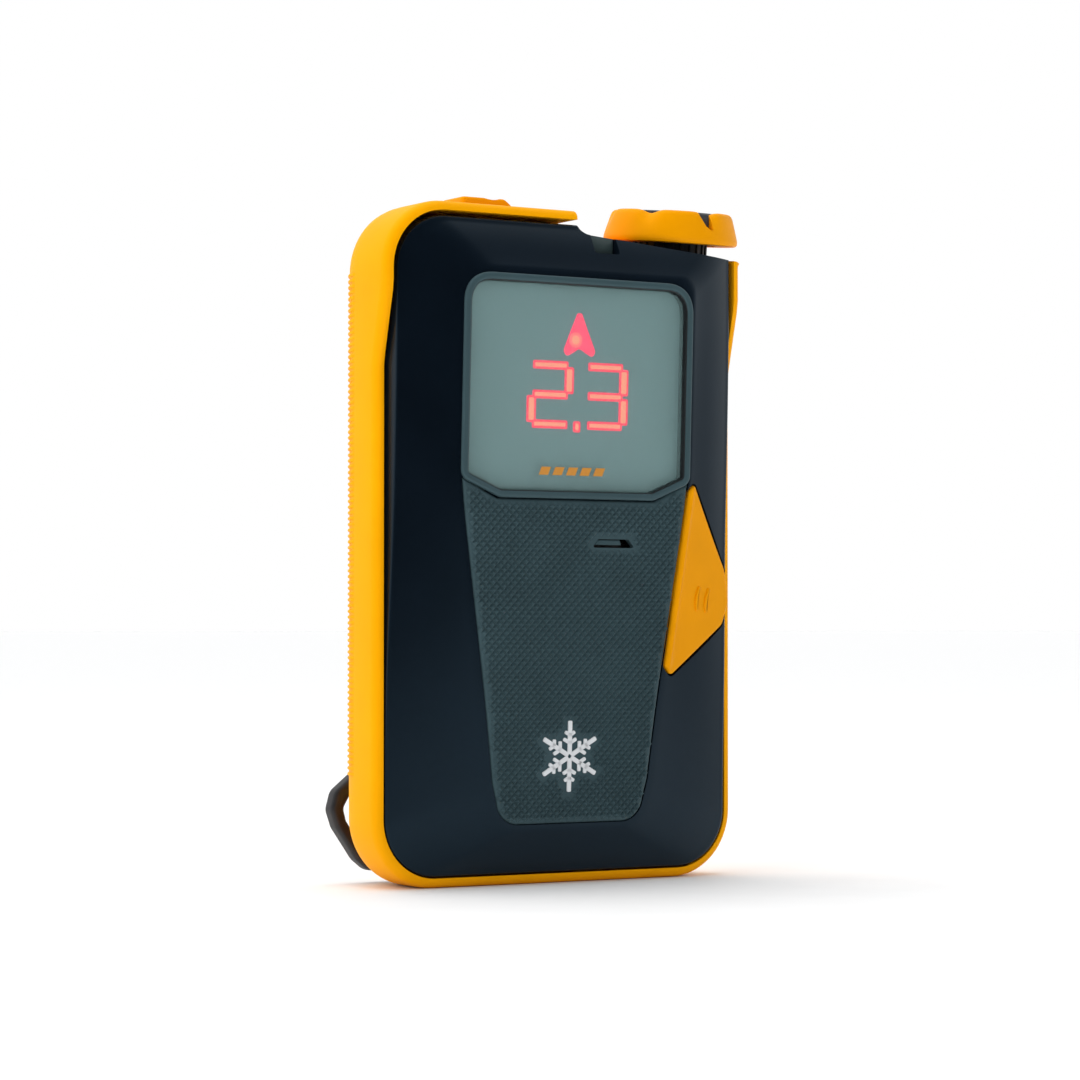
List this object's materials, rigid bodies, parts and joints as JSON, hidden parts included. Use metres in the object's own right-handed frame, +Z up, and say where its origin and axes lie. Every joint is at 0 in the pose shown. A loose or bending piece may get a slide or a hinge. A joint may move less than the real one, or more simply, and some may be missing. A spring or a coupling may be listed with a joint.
{
  "type": "avalanche transceiver",
  "caption": "Hand-held avalanche rescue transceiver with a red distance display, mode knob, side trigger, top button, rear battery door and leash loop.",
  "frame": {"origin": "middle of the flat bottom, on the plane where the back begins to curve", "axes": "+Z up along the body, -Y out of the display, +X to the viewer's right when facing the display"},
  "size_m": [0.0784, 0.0277, 0.1215],
  "materials": {
    "shell_yellow": "satin moulded",
    "button_yellow": "satin moulded",
    "cover_black": "satin moulded",
    "trim_black": "matt moulded",
    "door_grey": "fine spark texture",
    "pad_rubber": "diamond knurl",
    "lens_smoke": "smoked",
    "window_smoke": "frosted",
    "seal_rubber": "matt",
    "steel": "machined",
    "contact_metal": "nickel plated",
    "insert_brass": "knurled",
    "magnet": "nickel plated",
    "insert_grey": "matt",
    "tray_black": "matt",
    "cell_wrap": "plain printed wrap, no lettering",
    "board_green": "solder mask",
    "chip_black": "epoxy",
    "display_dark": "matt",
    "led_red": "lit diffuser",
    "led_clear": "clear",
    "mesh_grey": "woven membrane",
    "ferrite": "sintered",
    "copper": "enamelled wire"
  },
  "bodies": {
    "housing": {"rear_shell": "shell_yellow", "front_cover": "cover_black", "grip_pad": "pad_rubber", "display_bezel": "pad_rubber", "display_lens": "lens_smoke", "status_window": "window_smoke", "case_gasket": "seal_rubber", "case_screws": "steel", "leash_loop": "trim_black", "door_hinge_pin": "steel", "door_insert": "insert_brass", "battery_tray": "tray_black", "battery_1": "cell_wrap", "battery_2": "cell_wrap", "battery_3": "cell_wrap", "spring_contacts": "contact_metal", "flat_contacts": "contact_metal", "knob_collar": "trim_black", "knob_oring": "seal_rubber", "trigger_pin": "steel", "trigger_spring": "steel", "button_spring": "steel", "button_switch": "tray_black", "circuit_board": "board_green", "processor": "chip_black", "board_parts": "chip_black", "sensor_chips": "chip_black", "board_screws": "steel", "display_module": "display_dark", "digit_segments": "led_red", "direction_arrow": "led_red", "speaker": "display_dark", "speaker_mesh": "mesh_grey", "long_antenna_core": "ferrite", "long_antenna_coil": "copper", "cross_antenna_core": "ferrite", "cross_antenna_coil": "copper", "short_antenna_core": "ferrite", "short_antenna_coil": "copper", "antenna_clips": "tray_black", "status_led": "led_clear"},
    "knob": {"mode_knob": "button_yellow", "knob_insert": "insert_grey", "knob_shaft": "steel", "knob_clip": "steel", "knob_magnet": "magnet"},
    "trigger": {"search_trigger": "button_yellow", "trigger_magnet": "magnet"},
    "button": {"options_button": "button_yellow"},
    "door": {"battery_door": "door_grey", "door_gasket": "seal_rubber"},
    "door_fastener": {"door_screw": "steel"}
  },
  "joints": [
    {"name": "knob_turn", "type": "hinge", "parent": "housing", "child": "knob", "pos_m": [0.0285, 0.001, 0.1131], "axis": [0, -0.1045, 0.9945], "range_deg": [0, 90]},
    {"name": "trigger_press", "type": "hinge", "parent": "housing", "child": "trigger", "pos_m": [0.02238, -0.0085, 0.05321], "axis": [0.1414, -0.0356, 0.9893], "range_deg": [0, 4], "stiffness_Nm_per_rad": 0.05, "springref_deg": -5.73},
    {"name": "button_press", "type": "slide", "parent": "housing", "child": "button", "axis": [0, 0, -1], "range_m": [0, 0.0009], "stiffness_N_per_m": 600, "springref_m": -0.0005, "deforming": ["button_spring"]},
    {"name": "door_swing", "type": "hinge", "parent": "housing", "child": "door", "pos_m": [0, 0.0118, 0.01], "axis": [-1, 0, 0], "range_deg": [0, 100]},
    {"name": "screw_turn", "type": "hinge", "parent": "door", "child": "door_fastener", "pos_m": [0, 0.0134, 0.0626], "axis": [0, 1, 0], "range_deg": [0, 450]}
  ]
}
